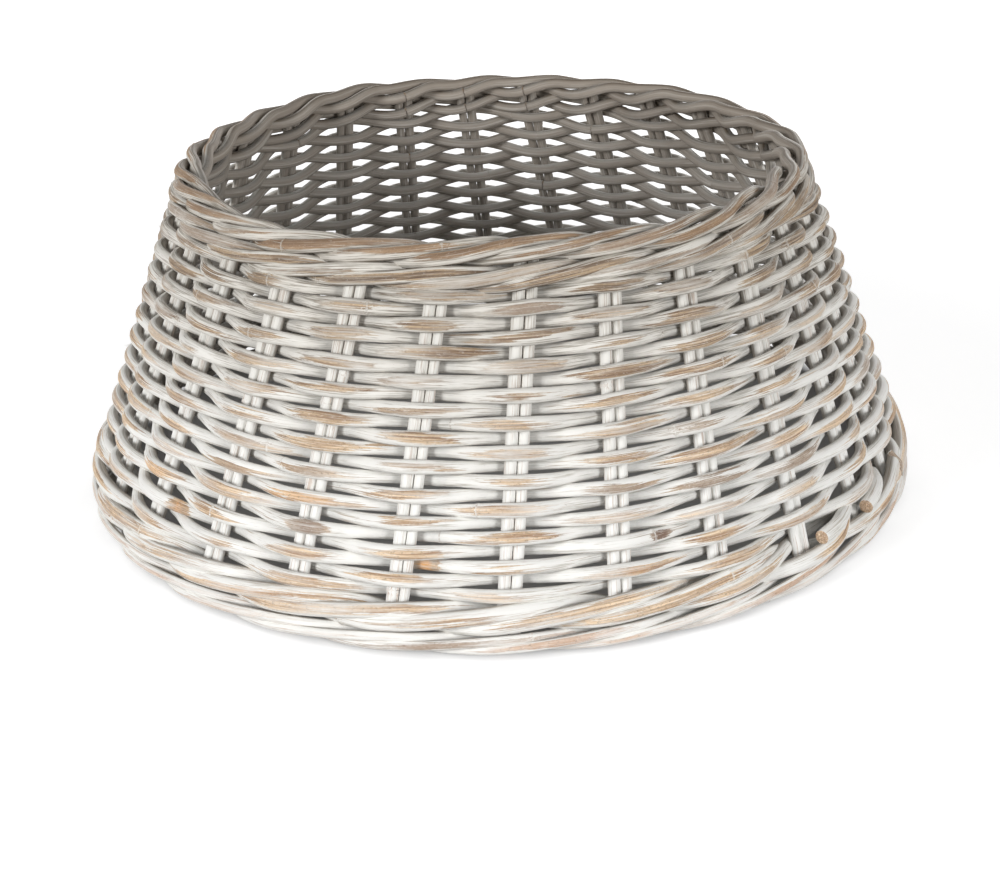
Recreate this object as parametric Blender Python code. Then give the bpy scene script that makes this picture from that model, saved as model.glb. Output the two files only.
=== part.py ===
# Christmas tree collar woven from whitewashed rattan canes.
# Metres, +Z up, the collar stands on Z = 0 and its front faces -Y.
import math

import bmesh
import bpy
from mathutils import Vector

# Counts
stake_pairs = 26
weave_rows = 22
strands_in_a_wale = 3

# Sizes of the wall, measured to the middle of the stakes
wall_base_radius = 0.290
wall_top_radius = 0.203
wall_height = 0.229

# Cane diameters
stake_cane = 0.0072
weaver_cane = 0.0081
foot_cane = 0.0058
bottom_wale_cane = 0.0090
top_wale_cane = 0.0070
rim_cane = 0.0074

# Fits between canes
seat_gap = 0.0003
cane_end_gap = 0.0020
bend_margin = 0.0026
floor_flat_depth = 0.0005
stake_foot_lift = 0.0025

# Turns around the collar
stake_lean_turn = math.radians(5.6)
first_stake_turn = math.radians(0.2)

# Joints of the weaver rows are spread by this many stake pairs
row_joint_stride = 7

# The strands of a wale start at the back, behind this stake pair and the next two
first_wale_stake = 12

# Outline of a stake pair: across in cane diameters, depth in cane radii
pair_outline_shares = (
    (0.0, -0.5),
    (0.5, -1.0),
    (1.0, 0.0),
    (0.5, 1.0),
    (0.0, 0.5),
    (-0.5, 1.0),
    (-1.0, 0.0),
    (-0.5, -1.0),
)

# Outline of a strand: out of the wall and up the wall, in cane radii
strand_outline_shares = (
    (1.0, 0.0),
    (0.0, 1.0),
    (-1.0, 0.0),
    (0.0, -1.0),
)

# Derived slope of the wall and spacing of the stakes
wall_slope = math.atan2(wall_base_radius - wall_top_radius, wall_height)
slope_cos = math.cos(wall_slope)
slope_sin = math.sin(wall_slope)
stake_turn = math.tau / stake_pairs
bend_reach = stake_cane + bend_margin

# Canes stand off the stakes square to the wall, so an inner pass of the foot lies lowest
foot_stand_off = (foot_cane + stake_cane) / 2 + seat_gap
foot_drop = foot_stand_off * slope_sin + foot_cane / 2 * slope_cos

# Derived levels, from the floor up
foot_low = foot_drop - floor_flat_depth
foot_high = foot_low + (foot_cane + seat_gap) * slope_cos
bottom_wale_low = foot_high + (
    (foot_cane + bottom_wale_cane) / 2 + seat_gap
) * slope_cos
bottom_wale_high = bottom_wale_low + (bottom_wale_cane + seat_gap) * slope_cos
first_row_level = bottom_wale_high + (
    (bottom_wale_cane + weaver_cane) / 2 + seat_gap
) * slope_cos
row_pitch = (weaver_cane + seat_gap) * slope_cos
last_row_level = first_row_level + (weave_rows - 1) * row_pitch
top_wale_low = last_row_level + (
    (weaver_cane + top_wale_cane) / 2 + seat_gap
) * slope_cos
top_wale_high = top_wale_low + (top_wale_cane + seat_gap) * slope_cos
rim_low = top_wale_high + ((top_wale_cane + rim_cane) / 2 + seat_gap) * slope_cos
rim_high = rim_low + (rim_cane + seat_gap) * slope_cos
stake_top = rim_high - rim_cane / 2 - seat_gap


def clear_scene():
    for item in list(bpy.data.objects):
        bpy.data.objects.remove(item, do_unlink=True)


def painted_cane(name, colour, roughness):
    material = bpy.data.materials.new(name)
    material.use_nodes = True
    shader = material.node_tree.nodes["Principled BSDF"]
    shader.inputs["Base Color"].default_value = (*colour, 1.0)
    shader.inputs["Roughness"].default_value = roughness
    shader.inputs["Metallic"].default_value = 0.0
    return material


def finish_object(name, mesh, material):
    bmesh.ops.recalc_face_normals(mesh, faces=mesh.faces)
    data = bpy.data.meshes.new(name)
    mesh.to_mesh(data)
    mesh.free()
    data.materials.append(material)
    data.shade_smooth()
    data.set_sharp_from_angle(angle=math.radians(100))
    item = bpy.data.objects.new(name, data)
    bpy.context.scene.collection.objects.link(item)
    return item


def wall_place(stake_number, level):
    # Each stake is a straight cane, so the wall between the rims is a ruled surface
    turn = first_stake_turn + stake_number * stake_turn
    share = level / wall_height
    foot_x = wall_base_radius * math.sin(turn)
    foot_y = -wall_base_radius * math.cos(turn)
    top_x = wall_top_radius * math.sin(turn + stake_lean_turn)
    top_y = -wall_top_radius * math.cos(turn + stake_lean_turn)
    x = foot_x + (top_x - foot_x) * share
    y = foot_y + (top_y - foot_y) * share
    return math.hypot(x, y), math.atan2(x, -y)


def wall_directions(turn):
    outward = Vector((math.sin(turn), -math.cos(turn), 0.0))
    along = Vector((math.cos(turn), math.sin(turn), 0.0))
    return outward, along


def stand_off(cane):
    # From a stake's middle to the middle of a cane that rests on it, square to the wall
    return (cane + stake_cane) / 2 + seat_gap


def add_ring(mesh, stake_number, reach, level, out, cane):
    # One outline of a strand, on the straight run that crosses the stake pair
    wall_radius, turn = wall_place(stake_number, level)
    radius = wall_radius + out * slope_cos
    swing = math.atan2(reach, radius)
    outward, _along = wall_directions(turn + swing)
    middle = outward * (radius / math.cos(swing))
    middle.z = level + out * slope_sin
    depth_way = outward * slope_cos + Vector((0.0, 0.0, slope_sin))
    rise_way = Vector((0.0, 0.0, slope_cos)) - outward * slope_sin
    ring = []
    for depth_share, rise_share in strand_outline_shares:
        point = (
            middle
            + depth_way * depth_share * cane / 2
            + rise_way * rise_share * cane / 2
        )
        ring.append(mesh.verts.new(point))
    return ring


def skin_rings(mesh, rings):
    count = len(rings[0])
    for lower, upper in zip(rings, rings[1:]):
        for side in range(count):
            after = (side + 1) % count
            mesh.faces.new((lower[side], lower[after], upper[after], upper[side]))
    mesh.faces.new(rings[0])
    mesh.faces.new(reversed(rings[-1]))


def strand_mesh(stops, cane):
    # A stop is a straight run of cane past one stake pair, between two bends
    mesh = bmesh.new()
    rings = []
    for stake_number, out, bends in stops:
        for reach, level in bends:
            rings.append(add_ring(mesh, stake_number, reach, level, out, cane))
    skin_rings(mesh, rings)
    return mesh


def trim_ends(stops):
    # The two ends of a strand are cut square behind a stake pair
    stake_number, out, bends = stops[0]
    after = bends[-1]
    stops[0] = (stake_number, out, [(cane_end_gap / 2, after[1]), after])
    stake_number, out, bends = stops[-1]
    before = bends[0]
    stops[-1] = (stake_number, out, [before, (-cane_end_gap / 2, before[1])])
    return stops


def weaver_stops(row):
    # Over one stake pair and under the next, one turn round the collar
    out = stand_off(weaver_cane)
    level = first_row_level + row * row_pitch
    start = 2 * (row * row_joint_stride // 2) + (row + 1) % 2
    bends = [(-bend_reach, level), (bend_reach, level)]
    stops = []
    for step in range(stake_pairs + 1):
        side = -1 if step % 2 == 0 else 1
        stops.append((start + step, side * out, bends))
    return trim_ends(stops)


def wale_stops(strand, low, high, cane, rolls_over):
    # In front of two stake pairs, rising, then down behind the third
    out = stand_off(cane)
    drop = [(-bend_reach, high), (bend_reach, low)]
    low_run = [(-bend_reach, low), (bend_reach, low)]
    high_run = [(-bend_reach, high), (bend_reach, high)]
    if rolls_over:
        # The stakes end under this bend, so the cane turns inward over them
        high_run = high_run[:1]
    rounds = math.ceil((stake_pairs - strand) / strands_in_a_wale)
    start = first_wale_stake + strand
    stops = []
    for step in range(rounds * strands_in_a_wale + 1):
        phase = step % strands_in_a_wale
        if phase == 0:
            stops.append((start + step, -out, drop))
        elif phase == 1:
            stops.append((start + step, out, low_run))
        else:
            stops.append((start + step, out, high_run))
    return trim_ends(stops)


def add_stake_pair(number, material):
    # Two canes side by side, straight from the foot to the rim
    mesh = bmesh.new()
    rings = []
    for level in (stake_foot_lift, stake_top):
        radius, turn = wall_place(number, level)
        outward, along = wall_directions(turn)
        middle = outward * radius
        middle.z = level
        ring = []
        for across_share, depth_share in pair_outline_shares:
            across = along * across_share * stake_cane
            depth = outward * depth_share * stake_cane / 2 / slope_cos
            ring.append(mesh.verts.new(middle + across + depth))
        rings.append(ring)
    skin_rings(mesh, rings)
    finish_object("stake_pair_%02d" % (number + 1), mesh, material)


def cut_flat_on_floor(mesh):
    everything = mesh.verts[:] + mesh.edges[:] + mesh.faces[:]
    bmesh.ops.bisect_plane(
        mesh,
        geom=everything,
        plane_co=(0.0, 0.0, 0.0),
        plane_no=(0.0, 0.0, -1.0),
        clear_outer=True,
    )
    rims = [edge for edge in mesh.edges if edge.is_boundary]
    bmesh.ops.holes_fill(mesh, edges=rims, sides=0)


def add_wale(name, low, high, cane, material, rolls_over=False, on_floor=False):
    for strand in range(strands_in_a_wale):
        mesh = strand_mesh(wale_stops(strand, low, high, cane, rolls_over), cane)
        if on_floor:
            cut_flat_on_floor(mesh)
        finish_object("%s_strand_%d" % (name, strand + 1), mesh, material)


def build():
    clear_scene()
    stake_paint = painted_cane("stake_paint", (0.74, 0.71, 0.66), 0.72)
    weaver_paint = painted_cane("weaver_paint", (0.66, 0.61, 0.55), 0.70)
    wale_paint = painted_cane("wale_paint", (0.68, 0.62, 0.55), 0.70)
    foot_paint = painted_cane("foot_paint", (0.76, 0.70, 0.64), 0.68)
    rim_paint = painted_cane("rim_paint", (0.58, 0.52, 0.46), 0.70)
    for number in range(stake_pairs):
        add_stake_pair(number, stake_paint)
    for row in range(weave_rows):
        mesh = strand_mesh(weaver_stops(row), weaver_cane)
        finish_object("weaver_row_%02d" % (row + 1), mesh, weaver_paint)
    add_wale("foot_wale", foot_low, foot_high, foot_cane, foot_paint, on_floor=True)
    add_wale(
        "bottom_wale", bottom_wale_low, bottom_wale_high, bottom_wale_cane, wale_paint
    )
    add_wale("top_wale", top_wale_low, top_wale_high, top_wale_cane, wale_paint)
    add_wale("rim_rope", rim_low, rim_high, rim_cane, rim_paint, rolls_over=True)


build()
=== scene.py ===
import math
from collections import namedtuple

import bpy
import numpy as np
from mathutils import Matrix, Vector


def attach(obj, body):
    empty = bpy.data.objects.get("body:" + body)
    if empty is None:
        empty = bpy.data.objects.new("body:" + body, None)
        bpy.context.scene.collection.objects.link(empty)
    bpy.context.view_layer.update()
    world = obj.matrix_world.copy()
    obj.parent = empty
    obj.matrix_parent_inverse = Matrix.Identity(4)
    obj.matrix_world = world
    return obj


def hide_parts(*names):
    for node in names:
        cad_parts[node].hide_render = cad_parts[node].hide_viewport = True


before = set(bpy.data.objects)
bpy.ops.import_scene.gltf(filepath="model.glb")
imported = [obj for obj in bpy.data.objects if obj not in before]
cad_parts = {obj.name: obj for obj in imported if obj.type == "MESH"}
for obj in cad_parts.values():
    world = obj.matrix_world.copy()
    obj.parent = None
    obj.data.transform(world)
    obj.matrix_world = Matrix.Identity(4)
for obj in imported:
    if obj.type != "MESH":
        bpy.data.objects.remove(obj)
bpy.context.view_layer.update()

# The weave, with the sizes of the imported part
STAKES = 26
ROWS = 22
STRANDS = 3
WALL_BASE_RADIUS = 0.290
WALL_TOP_RADIUS = 0.203
WALL_HEIGHT = 0.229
STAKE_CANE = 0.0072
WEAVER_CANE = 0.0081
FOOT_CANE = 0.0058
BOTTOM_WALE_CANE = 0.0090
TOP_WALE_CANE = 0.0070
RIM_CANE = 0.0074
SEAT_GAP = 0.0003
FLOOR_FLAT = 0.0005
STAKE_FOOT = 0.0025
STAKE_LEAN_TURN = math.radians(5.6)
FIRST_STAKE_TURN = math.radians(0.2)
ROW_JOINT_STRIDE = 7
FIRST_WALE_STAKE = 12

SLOPE = math.atan2(WALL_BASE_RADIUS - WALL_TOP_RADIUS, WALL_HEIGHT)
SLOPE_COS, SLOPE_SIN = math.cos(SLOPE), math.sin(SLOPE)
STAKE_TURN = math.tau / STAKES

# Levels of the bands, from the floor up
FOOT_LOW = (((FOOT_CANE + STAKE_CANE) / 2 + SEAT_GAP) * SLOPE_SIN
            + FOOT_CANE / 2 * SLOPE_COS - FLOOR_FLAT)
FOOT_HIGH = FOOT_LOW + (FOOT_CANE + SEAT_GAP) * SLOPE_COS
BOTTOM_LOW = FOOT_HIGH + ((FOOT_CANE + BOTTOM_WALE_CANE) / 2 + SEAT_GAP) * SLOPE_COS
BOTTOM_HIGH = BOTTOM_LOW + (BOTTOM_WALE_CANE + SEAT_GAP) * SLOPE_COS
FIRST_ROW = BOTTOM_HIGH + ((BOTTOM_WALE_CANE + WEAVER_CANE) / 2 + SEAT_GAP) * SLOPE_COS
ROW_PITCH = (WEAVER_CANE + SEAT_GAP) * SLOPE_COS
LAST_ROW = FIRST_ROW + (ROWS - 1) * ROW_PITCH
TOP_LOW = LAST_ROW + ((WEAVER_CANE + TOP_WALE_CANE) / 2 + SEAT_GAP) * SLOPE_COS
TOP_HIGH = TOP_LOW + (TOP_WALE_CANE + SEAT_GAP) * SLOPE_COS
RIM_LOW = TOP_HIGH + ((TOP_WALE_CANE + RIM_CANE) / 2 + SEAT_GAP) * SLOPE_COS
RIM_HIGH = RIM_LOW + (RIM_CANE + SEAT_GAP) * SLOPE_COS
STAKE_TOP = RIM_HIGH - RIM_CANE / 2 - SEAT_GAP

# How thick the upper canes look, and how far their bands settle on one another
TOP_LOOK = 0.0075
RIM_LOOK = 0.0079
TOP_SETTLE = 0.0008
RIM_SETTLE = 0.0014

# Shape of a woven cane, in shares of the plain solid's: how far it stands off the stakes,
# how deep it may go behind them, how flat and how thick its bends are
STAND_OFF_SHARE = 1.02
DEEPEST_SHARE = 1.15
BEND_FLATNESS = 0.10
BEND_POWER = 1.4
ROW_BEND_SWELL = 0.165
ROW_HIDDEN_THINNING = 0.04
SPAN_BULGE = 0.10
RISE_STEEPNESS = 1.25
OVALNESS = 0.02

# The rim's turn over the stake tops, in stake numbers after a strand's start
ROLL_START, ROLL_LENGTH, ROLL_DEPTH, ROLL_BULGE = 1.45, 0.90, 1.25, 0.06
ROLL_END = ROLL_START + ROLL_LENGTH

# The two canes of a stake pair: least and most thickness of each, and half the gap
PAIR_GIRTHS = ((1.00, 1.07), (0.86, 0.97))
PAIR_HALF_GAP = 0.00018

# Random waves: how high, the longest one in units of the position, and how many there are.
# Rises and shifts of a stake are in metres, the rest are shares.
ROW_DEPTH, ROW_RISE, ROW_GIRTH = (0.04, 4.0, 6), (0.00045, 3.1, 6), (0.030, 9.0, 5)
WALE_DEPTH, WALE_RISE, WALE_GIRTH = (0.04, 5.0, 6), (0.00030, 3.5, 6), (0.025, 9.0, 5)
STAKE_GIRTH, STAKE_WEAR = (0.015, 6.0, 3), (0.22, 3.0, 4)
STAKE_ACROSS, STAKE_OUTWARD = (0.00010, 5.0, 3), (0.00015, 4.0, 3)
TINT_WAVE, FILM_WAVE = (0.30, 5.0, 5), (0.5, 4.3, 5)
ROW_GIRTH_SPREAD, WALE_GIRTH_SPREAD, TINT_SPREAD = 0.02, 0.015, 0.16
SHAPE_WAVES_PER_STAKE, WEAR_WAVES_PER_STAKE = 6, 8
# How much shorter and lower each further wave gets, and what brings their sum to its height
WAVE_SHORTENING, WAVE_FADING, WAVE_SUM = 0.8, 0.5, 1.8

# The slow rise and fall that all rows share: height in metres, waves round the collar, phase
SWAYS = ((0.0010, 2, 0.6), (0.0008, 5, 2.1))
TWISTED_SWAY = (0.0005, 9, 30)

# Joint rings of a cane: least and most metres between two, and how close they come to its ends
CANE_RING_SPACING = (0.20, 0.55)
STAKE_RING_SPACING = (0.10, 0.30)
FIRST_RING, LAST_RING, NO_RING = 0.03, 0.01, 9.0
# Their swellings and marks: size, metres past the ring, and width in metres
RING_SWELLS = ((0.055, 0.0, 0.0012), (0.045, 0.0, 0.0005), (0.015, 0.003, 0.002))
RING_MARKS = ((0.5, 0.0, 0.0045), (0.5, 0.0, 0.00045))

# How finely a cane is made: outline, positions along it, and those round a joint ring
SIDES = 16
ANGLES = np.arange(SIDES) * math.tau / SIDES
INSIDE_SHARES = (1 - np.cos(ANGLES))[None, :] / 2
STEPS_PER_STAKE = 18
STAKE_STEPS = 48
RING_STEPS = np.array((-0.0032, -0.0016, -0.0008, -0.0003, 0.0003, 0.0008, 0.0016, 0.0032))
RING_CLEARANCE = 0.0004
END_STEP = 0.0006

# Rings that bevel a cut end: share of the outline, and how far past the end they stand
CUT_RINGS = ((0.97, 0.00025), (0.92, 0.0005), (0.45, 0.00055))
CUT_SHARES = np.array([share for share, _past in CUT_RINGS])[:, None, None]
RAGGEDNESS = 0.0012
# How bare the two cut ends of a cane are
CUT_WORN, STAKE_CUT_WORN = (1.0, 1.0), (0.6, 0.6)
# The grain of each cane starts somewhere else, within this many metres
GRAIN_SHIFT = 40

# Loose fibres at the joint rings
FIBRE_SIDES, FIBRE_POINTS = 5, 6
FIBRE_LENGTH, FIBRE_RADIUS = (0.003, 0.0075), (0.00012, 0.00026)
FIBRE_ROOT, FIBRE_TAPER = 0.93, 0.75
FIBRES_PER_RING = (1, 4)
FIBRE_TURN, FIBRE_LIFT, FIBRE_SKEW, FIBRE_CURL = 0.7, (0.10, 0.40), 0.25, (-0.15, 0.2)
FIBRE_WORN, FIBRE_LEAST_FRONT = (-0.8, 0.5), 0.1
# How many points of the cane from its ends the fibres keep away
FIBRE_MARGIN = 4
ROW_FIBRE_CHANCE, WALE_FIBRE_CHANCE = 0.7, 0.5

# Seeds of the random draws
LOOSE_END_SEED, ROW_SEED, STAKE_SEED, WALE_SEED = 80, 100, 500, 1000

# A worn place on a proud bend. centre and half_length are in stake numbers, tilt (round the
# cane), skew (tilt gained along it) and half_width in radians. hue picks the wood: below 0
# a dark scar, near 0 grey, in the middle tan and near 1 fresh.
Patch = namedtuple("Patch", "centre half_length tilt skew half_width strength hue")
UNWORN, STAKE_WORN, PATCH_REACH = -1.2, -0.62, 1.6
PATCH_LONG_POWER, PATCH_WIDE_POWER = 1.5, 1.8
HUE_REACH, LEAST_HUE_REACH = 1.25, 0.15
# Paint behind the stakes is hidden, and takes painted shade with grime, from this front share on,
# fully after this length
HIDDEN_START, HIDDEN_LENGTH = -0.05, 0.95

# The kinds of worn places: shares of the random draw, strengths and hues
FAINT_BELOW, GREY_BELOW, FRESH_ABOVE, DOUBLE_BELOW = 0.20, 0.27, 0.95, 0.40
FULL_STRENGTH, FAINT_STRENGTH, SECOND_STRENGTH = (0.80, 1.15), (0.30, 0.62), (0.5, 0.9)
PLAIN_HUE, HUE_SPREAD, HUE_RANGE, HUE_LOSS_UP = 0.5, 0.16, (0.12, 0.88), 0.12
STAKE_HUE, STAKE_TINT = (0.3, 0.7), (0.3, 0.7)
GREY_HUE, FRESH_HUE = (0.0, 0.2), (0.86, 0.92)

# Spreads and factors of a worn place, and of the narrow second one beside it
CENTRE_SPREAD, LENGTH_FACTOR, TILT_SPREAD = 0.08, (0.70, 1.30), 0.16
SKEW_MEAN, SKEW_SPREAD, WIDTH_FACTOR = 0.06, 0.20, (0.75, 1.25)
SECOND_CENTRE_SPREAD, SECOND_LENGTH_FACTOR, SECOND_TILT = 0.25, (0.5, 1.0), (0.5, 0.9)
SECOND_SKEW_SPREAD, SECOND_WIDTH_FACTOR = 0.2, (0.3, 0.55)

# One band of three strands. cane is the solid's thickness and look the one shown, swell is
# how much thicker the bends are, settle how far the band lies lower, height how far up the
# wall its paint is, as a share, tilt and half_length are those of its worn places, and floor
# is the level that cuts it flat.
Band = namedtuple(
    "Band", "name slot number low high cane look swell settle height tilt half_length floor",
    defaults=(0.12, 0.0, 0.0, 0.0, 0.95, None))
BANDS = (
    Band("foot_wale", "foot_paint", 1, FOOT_LOW, FOOT_HIGH, FOOT_CANE, FOOT_CANE,
         swell=0.06, floor=0.0),
    Band("bottom_wale", "wale_paint", 2, BOTTOM_LOW, BOTTOM_HIGH, BOTTOM_WALE_CANE,
         BOTTOM_WALE_CANE, swell=0.14),
    Band("top_wale", "wale_paint", 3, TOP_LOW, TOP_HIGH, TOP_WALE_CANE, TOP_LOOK,
         settle=TOP_SETTLE, height=1.0),
    Band("rim_rope", "rim_paint", 4, RIM_LOW, RIM_HIGH, RIM_CANE, RIM_LOOK,
         swell=0.08, settle=RIM_SETTLE, height=1.0, tilt=0.35, half_length=0.90),
)
ROW_PATCH_HALF_LENGTH, ROW_PATCH_TILT, ROW_PATCH_HALF_WIDTH = 0.42, 0.04, 0.68
WALE_PATCH_HALF_WIDTH = 0.62

# Places where a strand is pushed: band, strands, stake number, reach, rise, outward
PUSHES = (
    ("bottom_wale", (1,), 3.40, 0.50, -0.0030, 0.0),
    ("bottom_wale", (2,), 4.45, 0.55, -0.0036, 0.0),
    ("bottom_wale", (0,), 3.10, 0.55, 0.0006, -0.0165),
    ("bottom_wale", (1,), 4.12, 0.50, 0.0006, -0.0165),
    ("top_wale", (0, 1, 2), -0.28, 0.50, -0.0012, 0.0),
    ("rim_rope", (0, 1, 2), -0.28, 0.45, 0.0014, 0.0),
)

# Marks seen on the front rows, by row, and the worn places of the bottom wale's strands at
# the front right. The random ones that would lie near them are left out.
ROW_MARKS = {
    2: (Patch(-0.80, 0.12, 0.0, 0.0, 2.4, 1.5, 1.0), Patch(-3.60, 0.10, 0.0, 0.0, 1.6, 1.3, 0.9)),
    3: (Patch(1.36, 0.10, 0.05, 0.0, 0.55, 1.5, -0.5),),
    4: (Patch(-1.93, 0.16, 0.1, 0.0, 0.9, 1.3, -0.25),),
    15: (Patch(1.08, 0.50, 0.0, 0.0, 0.70, 1.3, 0.75),),
    16: (Patch(0.02, 0.34, -0.1, 0.0, 0.95, 1.3, 0.3),),
}
WALE_MARKS = {
    ("bottom_wale", 0): (Patch(STAKES + 2.10, 0.45, 0.0, 0.10, 0.60, 1.0, 0.5),),
    ("bottom_wale", 1): (Patch(STAKES + 3.35, 0.34, 0.1, 0.10, 0.55, 1.0, 0.5),),
    ("bottom_wale", 2): (Patch(STAKES + 1.45, 1.00, 0.0, 0.06, 0.62, 1.0, 0.55),),
}
# How near, in stake numbers
ROW_MARK_CLEARANCE, WALE_MARK_CLEARANCE = 0.45, 1.2

# Cut cane ends that poke out between the bottom wale and the foot. tip is the share of the
# radius left at the tip, worn over 0 is bare, and each stop is a stake number, a level and
# how far it stands out of the wall.
LooseEnd = namedtuple("LooseEnd", "strand radius tip worn hue stops")
LOOSE_ENDS = (
    LooseEnd(0, 0.0047, 1.0, -0.9, 0.5, (
        (3.10, 0.0262, 0.0130), (3.35, 0.0275, 0.0120),
        (3.60, 0.0285, 0.0070), (3.85, 0.0280, -0.0010))),
    LooseEnd(1, 0.0047, 1.0, -0.9, 0.5, (
        (3.88, 0.0255, 0.0130), (4.12, 0.0275, 0.0120),
        (4.40, 0.0285, 0.0070), (4.65, 0.0280, -0.0010))),
    LooseEnd(2, 0.0022, 0.15, 0.9, 0.05, (
        (4.93, 0.0165, 0.0130), (4.97, 0.0230, 0.0130), (5.01, 0.0300, 0.0080))),
)
LOOSE_END_POINTS, LOOSE_END_SMOOTHINGS, LOOSE_END_TAPER = 24, 3, 1.2
LOOSE_END_TINT, LOOSE_END_FILM = 0.6, 0.2
LOOSE_END_CUT_WORN, LOOSE_END_RAGGED = (1.4, -0.5), 0.5


# ---------------------------------------------------------------- routes

def wall_place(u, level):
    """Radius and turn of the stakes' middle surface at stake number u and height level."""
    turn = FIRST_STAKE_TURN + u * STAKE_TURN
    share = level / WALL_HEIGHT
    x = (WALL_BASE_RADIUS * np.sin(turn) * (1 - share)
         + WALL_TOP_RADIUS * np.sin(turn + STAKE_LEAN_TURN) * share)
    y = (-WALL_BASE_RADIUS * np.cos(turn) * (1 - share)
         - WALL_TOP_RADIUS * np.cos(turn + STAKE_LEAN_TURN) * share)
    return np.hypot(x, y), np.arctan2(x, -y)


def wall_point(u, level, out):
    """Points at stake number u and height level, out metres square to the wall from the
    stakes' middle."""
    u, level, out = np.broadcast_arrays(u, level, out)
    radius, turn = wall_place(u, level)
    reach = radius + out * SLOPE_COS
    return np.stack([reach * np.sin(turn), -reach * np.cos(turn), level + out * SLOPE_SIN], 1)


def unit(ways):
    return ways / np.linalg.norm(ways, axis=-1, keepdims=True)


def wall_normal(points):
    """Directions square to the sloping wall, outward, at points."""
    return np.column_stack([unit(points[:, :2]) * SLOPE_COS, np.full(len(points), SLOPE_SIN)])


def stand_off(cane):
    return (cane + STAKE_CANE) / 2 + SEAT_GAP


def spacing_at(level):
    """Metres from stake to stake round the wall at a level."""
    return wall_place(0.0, level)[0] * STAKE_TURN


def ease(x):
    x = np.clip(x, 0.0, 1.0)
    return x * x * (3 - 2 * x)


def wander(rng, t, size, longest, terms):
    """A smooth random wave of t, about size high."""
    total = np.zeros_like(t, dtype=float)
    for k in range(terms):
        length = longest / (1 + WAVE_SHORTENING * k)
        phase = rng.uniform(0, math.tau)
        total += np.sin(t * math.tau / length + phase) / (1 + WAVE_FADING * k)
    return total * size / WAVE_SUM


def sway(u, level):
    """The slow rise and fall that all rows share, nothing at the floor."""
    turn = u * STAKE_TURN
    total = 0.0
    for size, waves, phase in SWAYS:
        total = total + size * np.sin(waves * turn + phase)
    size, waves, twist = TWISTED_SWAY
    return (level / WALL_HEIGHT) * (total + size * np.sin(waves * turn + level * twist))


def lengths(path):
    return np.concatenate([[0], np.cumsum(np.linalg.norm(np.diff(path, axis=0), axis=1))])


def lay_out(rng, first, last, spacing, between=CANE_RING_SPACING, steps=STEPS_PER_STAKE):
    """Positions along a cane from first to last, denser at its joint rings, the signed
    distance in metres from each position to the nearest ring, and the rings. spacing is
    metres per unit of position."""
    least, most = between
    rings = []
    at = first + rng.uniform(FIRST_RING, most) / spacing
    while at < last - LAST_RING / spacing:
        rings.append(at)
        at += rng.uniform(least, most) / spacing
    rings = np.array(rings) if rings else np.array([first - NO_RING])
    dense = (rings[:, None] + RING_STEPS / spacing).ravel()
    dense = dense[(dense > first) & (dense < last)]
    plain = np.linspace(first, last, int(round((last - first) * steps)) + 1)
    if len(dense):
        near = np.abs(plain[:, None] - dense).min(1) * spacing < RING_CLEARANCE
        near[[0, -1]] = False
        plain = plain[~near]
    u = np.unique(np.concatenate([plain, dense]))
    away = (u[:, None] - rings) * spacing
    nearest = np.abs(away).argmin(1)
    return u, away[np.arange(len(u)), nearest], rings


def with_bumps(value, x, bumps):
    """value plus smooth bumps along x, each a size, a place and a width."""
    for size, place, width in bumps:
        value = value + size * np.exp(-((x - place) / width) ** 2)
    return value


# ---------------------------------------------------------------- canes

def link_object(name, data):
    item = bpy.data.objects.new(name, data)
    bpy.context.scene.collection.objects.link(item)
    return item


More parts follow.
